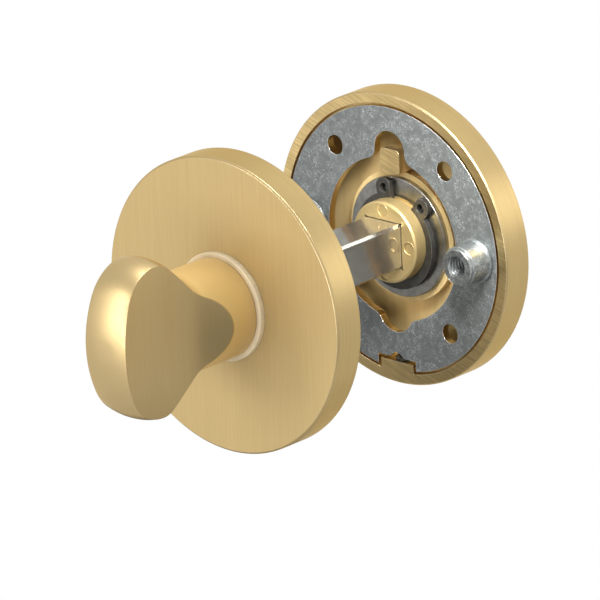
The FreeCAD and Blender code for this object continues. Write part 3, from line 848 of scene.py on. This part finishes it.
def threaded_post(shape):
    """One post about its own axis: the turned shell, joined to a thread at both ends."""
    pitch, root, crest = shape.thread_pitch, shape.thread_root, shape.thread_crest
    mesh = bmesh.new()
    shell = ((root / MM + 0.05, POST_TIP), *POST_OUTLINE, (root / MM, POST_END))
    outline = draw(mesh, [(radius * MM, depth * MM) for radius, depth in shell])
    spin(mesh, outline, steps=72)
    before = set(mesh.verts)

    # The thread starts a millimetre before the tip, runs past the end and is cut at both
    start = (POST_TIP - 1) * MM
    turns = math.ceil((POST_END - POST_TIP + 2) * MM / pitch)
    groove = ((root, 0.0), (root, 0.12), (crest, 0.44), (crest, 0.60), (root, 1.0))
    profile = draw(mesh, [(radius, start + along * pitch) for radius, along in groove])
    spin(mesh, profile, steps=48, turns=turns, rise=pitch)
    thread = [vert for vert in mesh.verts if vert not in before]
    bmesh.ops.remove_doubles(mesh, verts=thread, dist=0.001 * MM)
    for depth, outward in ((THREAD_START, -1), (POST_END, 1)):
        thread = [vert for vert in mesh.verts if vert.is_valid and vert not in before]
        geom = set(thread)
        for vert in thread:
            geom.update(vert.link_edges)
            geom.update(vert.link_faces)
        bmesh.ops.bisect_plane(mesh, geom=list(geom), dist=0.0001 * MM,
                               plane_co=(0, depth * MM, 0), plane_no=(0, outward, 0),
                               clear_outer=True, clear_inner=False)
    rims = [edge for edge in mesh.edges if edge.is_boundary]
    for end in (POST_TIP, POST_END):
        near = [edge for edge in rims
                if all(abs(vert.co.y - end * MM) < 0.5 * MM for vert in edge.verts)]
        bmesh.ops.bridge_loops(mesh, edges=near)
    return mesh


# Stage


def aimed(place, target):
    """The turn that makes the -Z side of something at a place face a target."""
    return (Vector(place) - Vector(target)).to_track_quat("Z", "Y")


def lamp(name, place, target, width, height, radiance, spread):
    """A soft box at a place, turned to a target, with the radiance of its face."""
    data = bpy.data.lights.new(name, "AREA")
    data.shape = "RECTANGLE"
    data.size = width
    data.size_y = height
    data.energy = radiance * math.pi * width * height
    data.spread = spread
    made = add(name, data)
    made.location = place
    made.rotation_euler = aimed(place, target).to_euler()
    made.visible_camera = False


def shade_card(name, place, target, width, height):
    """A dark card that only gloss sees, as photographers use to shape metal."""
    mesh = bmesh.new()
    bmesh.ops.create_grid(mesh, x_segments=1, y_segments=1, size=0.5)
    bmesh.ops.scale(mesh, vec=(width, height, 1), verts=mesh.verts)
    bmesh.ops.rotate(mesh, cent=(0, 0, 0), matrix=aimed(place, target).to_matrix(),
                     verts=mesh.verts)
    bmesh.ops.translate(mesh, vec=place, verts=mesh.verts)
    card = add_mesh(name, mesh, matt_finish("dark card", CARD_TONE))
    card.visible_camera = False
    card.visible_shadow = False
    card.visible_diffuse = False


def seen(tree):
    """1 for what the camera, a mirror or glass shows directly, and 0 for soft light."""
    path = put(tree, "ShaderNodeLightPath")
    shown = calc(tree, "ADD", path.outputs["Is Camera Ray"], path.outputs["Is Glossy Ray"])
    return calc(tree, "ADD", shown, path.outputs["Is Transmission Ray"], clamp=True)


def matt_finish(name, tone):
    """Matt paint with a faint grain, for the floor and the dark cards."""
    material, tree, shader = new_finish(name)
    grain = noise(tree, put(tree, "ShaderNodeTexCoord").outputs["Object"], 300.0, 2.0)
    give(tree, shader, {"Base Color": shades(tree, grain, tone, 0.99, 1.01),
                        "Roughness": 0.9})
    return material


class LOCK_OT_stage(bpy.types.Operator):
    """Set up the floor, the white surround, the lamps, the dark cards and the camera"""

    bl_idname = "lock.stage"
    bl_label = "Studio"

    def execute(self, context):
        settings = context.scene.lock_stage
        self.floor(settings)
        self.surround(context.scene)
        self.lamps(settings.lamp_level)
        context.scene.camera = self.camera(settings)
        context.scene.view_settings.view_transform = "Standard"
        return {"FINISHED"}

    def floor(self, settings):
        mesh = bmesh.new()
        bmesh.ops.create_circle(mesh, cap_ends=True, segments=128,
                                radius=settings.floor_radius)
        bmesh.ops.translate(mesh, vec=(0, 0, -settings.floor_drop), verts=mesh.verts)
        made = add_mesh("floor", mesh, matt_finish("pale floor", settings.floor_tone))

    def surround(self, scene):
        world = bpy.data.worlds.new("white surround")
        world.use_nodes = True
        tree = world.node_tree
        shown = tree.nodes["Background"]
        give(tree, shown, {"Color": (1, 1, 1, 1), "Strength": 1.0})
        soft = put(tree, "ShaderNodeBackground", {"Color": (1, 1, 1, 1), "Strength": 0.4})
        mix = put(tree, "ShaderNodeMixShader",
                  {0: seen(tree), 1: soft.outputs[0], 2: shown.outputs[0]})
        tree.links.new(mix.outputs[0], tree.nodes["World Output"].inputs["Surface"])
        scene.world = world

    def lamps(self, level):
        for *box, radiance, spread in SOFT_BOXES:
            lamp(*box, radiance * level, math.radians(spread))
        for card in SHADE_CARDS:
            shade_card(*card)

    def camera(self, settings):
        turn, rise = settings.azimuth, settings.elevation
        right = Vector((math.cos(turn), math.sin(turn), 0))
        up = Vector((-math.sin(turn) * math.sin(rise), math.cos(turn) * math.sin(rise),
                     math.cos(rise)))
        back = right.cross(up)
        place = right * settings.aside + up * settings.lift + back * settings.distance
        axes = Matrix((right, up, back)).transposed()
        tilt = Matrix.Rotation(settings.tilt, 4, "Y")
        data = bpy.data.cameras.new("camera")
        data.lens = settings.lens
        data.sensor_width = 36.0
        data.clip_start = 0.05
        data.clip_end = 20.0
        made = add("camera", data)
        made.matrix_world = tilt @ Matrix.Translation(place) @ axes.to_4x4()
        return made


# Panel and registration


OPERATORS = (LOCK_OT_roses, LOCK_OT_thumb_turn, LOCK_OT_release_turn, LOCK_OT_plates,
             LOCK_OT_posts, LOCK_OT_small_parts, LOCK_OT_stage)
SETTINGS = {"lock_brass": LockBrass, "lock_steel": LockSteel, "lock_shape": LockShape,
            "lock_stage": LockStage}


class LOCK_PT_sidebar(bpy.types.Panel):
    """The lock's settings and the steps that make it"""

    bl_idname = "LOCK_PT_sidebar"
    bl_label = "Bathroom thumb turn lock"
    bl_space_type = "VIEW_3D"
    bl_region_type = "UI"
    bl_category = "Lock"

    def draw(self, context):
        for label in SETTINGS:
            box = self.layout.box()
            settings = getattr(context.scene, label)
            for prop in settings.bl_rna.properties:
                if prop.identifier not in ("rna_type", "name"):
                    box.prop(settings, prop.identifier)
        for operator in OPERATORS:
            self.layout.operator(operator.bl_idname)


CLASSES = (*SETTINGS.values(), *OPERATORS, LOCK_PT_sidebar)


def register():
    for made in CLASSES:
        bpy.utils.register_class(made)
    for label, kind in SETTINGS.items():
        setattr(bpy.types.Scene, label, bpy.props.PointerProperty(type=kind))


def unregister():
    for label in SETTINGS:
        delattr(bpy.types.Scene, label)
    for made in reversed(CLASSES):
        bpy.utils.unregister_class(made)


def main():
    register()
    bpy.ops.lock.roses()
    bpy.ops.lock.thumb_turn()
    bpy.ops.lock.release_turn()
    bpy.ops.lock.plates()
    bpy.ops.lock.posts()
    bpy.ops.lock.small_parts()
    bpy.ops.lock.stage()


if __name__ == "__main__":
    main()
